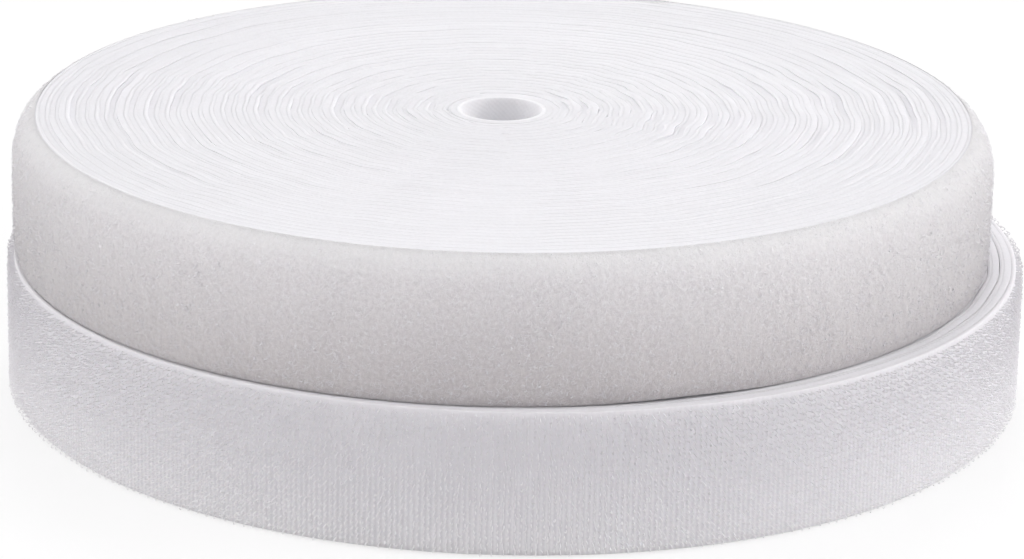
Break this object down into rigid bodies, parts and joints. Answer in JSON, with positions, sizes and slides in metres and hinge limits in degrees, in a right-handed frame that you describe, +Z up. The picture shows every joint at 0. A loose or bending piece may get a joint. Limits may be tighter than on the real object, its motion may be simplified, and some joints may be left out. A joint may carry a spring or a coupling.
{
  "type": "hook and loop tape roll",
  "caption": "Stack of coreless rolls of white woven fastener tape: a soft loop roll that lifts off and turns on a hook roll, each with a free tape end that peels away.",
  "frame": {"origin": "on the hook roll's axis, at the level that the hook roll stands on", "axes": "+Z up along the rolls' axes, -Y towards the picture's viewer, +X to the picture's right"},
  "size_m": [0.1828, 0.1839, 0.0503],
  "materials": {
    "hook_webbing": "white woven nylon ground tape",
    "hook_pile": "white nylon monofilament hooks in rows",
    "loop_webbing": "white woven nylon ground tape",
    "loop_pile": "brushed white nylon loop pile"
  },
  "bodies": {
    "hook_roll": {"hook_first_turn": "hook_webbing", "hook_winding": "hook_webbing", "hook_outer_turn_webbing": "hook_webbing", "hook_outer_turn_pile": "hook_pile"},
    "hook_tail_root": {"hook_tail_root_webbing": "hook_webbing", "hook_tail_root_pile": "hook_pile"},
    "hook_tail_middle": {"hook_tail_middle_webbing": "hook_webbing", "hook_tail_middle_pile": "hook_pile"},
    "hook_tail_tip": {"hook_tail_tip_webbing": "hook_webbing", "hook_tail_tip_pile": "hook_pile"},
    "loop_eye": {"loop_first_turn": "loop_webbing"},
    "loop_roll": {"loop_winding": "loop_webbing", "loop_outer_turn_webbing": "loop_webbing", "loop_outer_turn_pile": "loop_pile"},
    "loop_tail_root": {"loop_tail_root_webbing": "loop_webbing", "loop_tail_root_pile": "loop_pile"},
    "loop_tail_middle": {"loop_tail_middle_webbing": "loop_webbing", "loop_tail_middle_pile": "loop_pile"},
    "loop_tail_tip": {"loop_tail_tip_webbing": "loop_webbing", "loop_tail_tip_pile": "loop_pile"}
  },
  "joints": [
    {"name": "loop_roll_lift", "type": "slide", "parent": "hook_roll", "child": "loop_eye", "axis": [0, 0, 1], "range_m": [0, 0.06]},
    {"name": "loop_roll_turn", "type": "hinge", "parent": "loop_eye", "child": "loop_roll", "pos_m": [-0.0025, -0.0008, 0.0253], "axis": [0, 0, 1], "continuous": true},
    {"name": "loop_tail_peel", "type": "hinge", "parent": "loop_roll", "child": "loop_tail_root", "pos_m": [0.03215, 0.08038, 0.0253], "axis": [0, 0, -1], "range_deg": [0, 40]},
    {"name": "loop_tail_middle_bend", "type": "hinge", "parent": "loop_tail_root", "child": "loop_tail_middle", "pos_m": [0.00991, 0.08667, 0.0253], "axis": [0, 0, -1], "range_deg": [0, 40]},
    {"name": "loop_tail_tip_bend", "type": "hinge", "parent": "loop_tail_middle", "child": "loop_tail_tip", "pos_m": [-0.01322, 0.08698, 0.0253], "axis": [0, 0, -1], "range_deg": [0, 40]},
    {"name": "hook_tail_peel", "type": "hinge", "parent": "hook_roll", "child": "hook_tail_root", "pos_m": [0.01143, 0.09175, 0], "axis": [0, 0, -1], "range_deg": [0, 40]},
    {"name": "hook_tail_middle_bend", "type": "hinge", "parent": "hook_tail_root", "child": "hook_tail_middle", "pos_m": [-0.01171, 0.0918, 0], "axis": [0, 0, -1], "range_deg": [0, 40]},
    {"name": "hook_tail_tip_bend", "type": "hinge", "parent": "hook_tail_middle", "child": "hook_tail_tip", "pos_m": [-0.03415, 0.0861, 0], "axis": [0, 0, -1], "range_deg": [0, 40]}
  ],
  "couplings": [
    {"joint": "loop_tail_middle_bend", "follows": "loop_tail_peel", "ratio": 1},
    {"joint": "loop_tail_tip_bend", "follows": "loop_tail_peel", "ratio": 1},
    {"joint": "hook_tail_middle_bend", "follows": "hook_tail_peel", "ratio": 1},
    {"joint": "hook_tail_tip_bend", "follows": "hook_tail_peel", "ratio": 1}
  ]
}
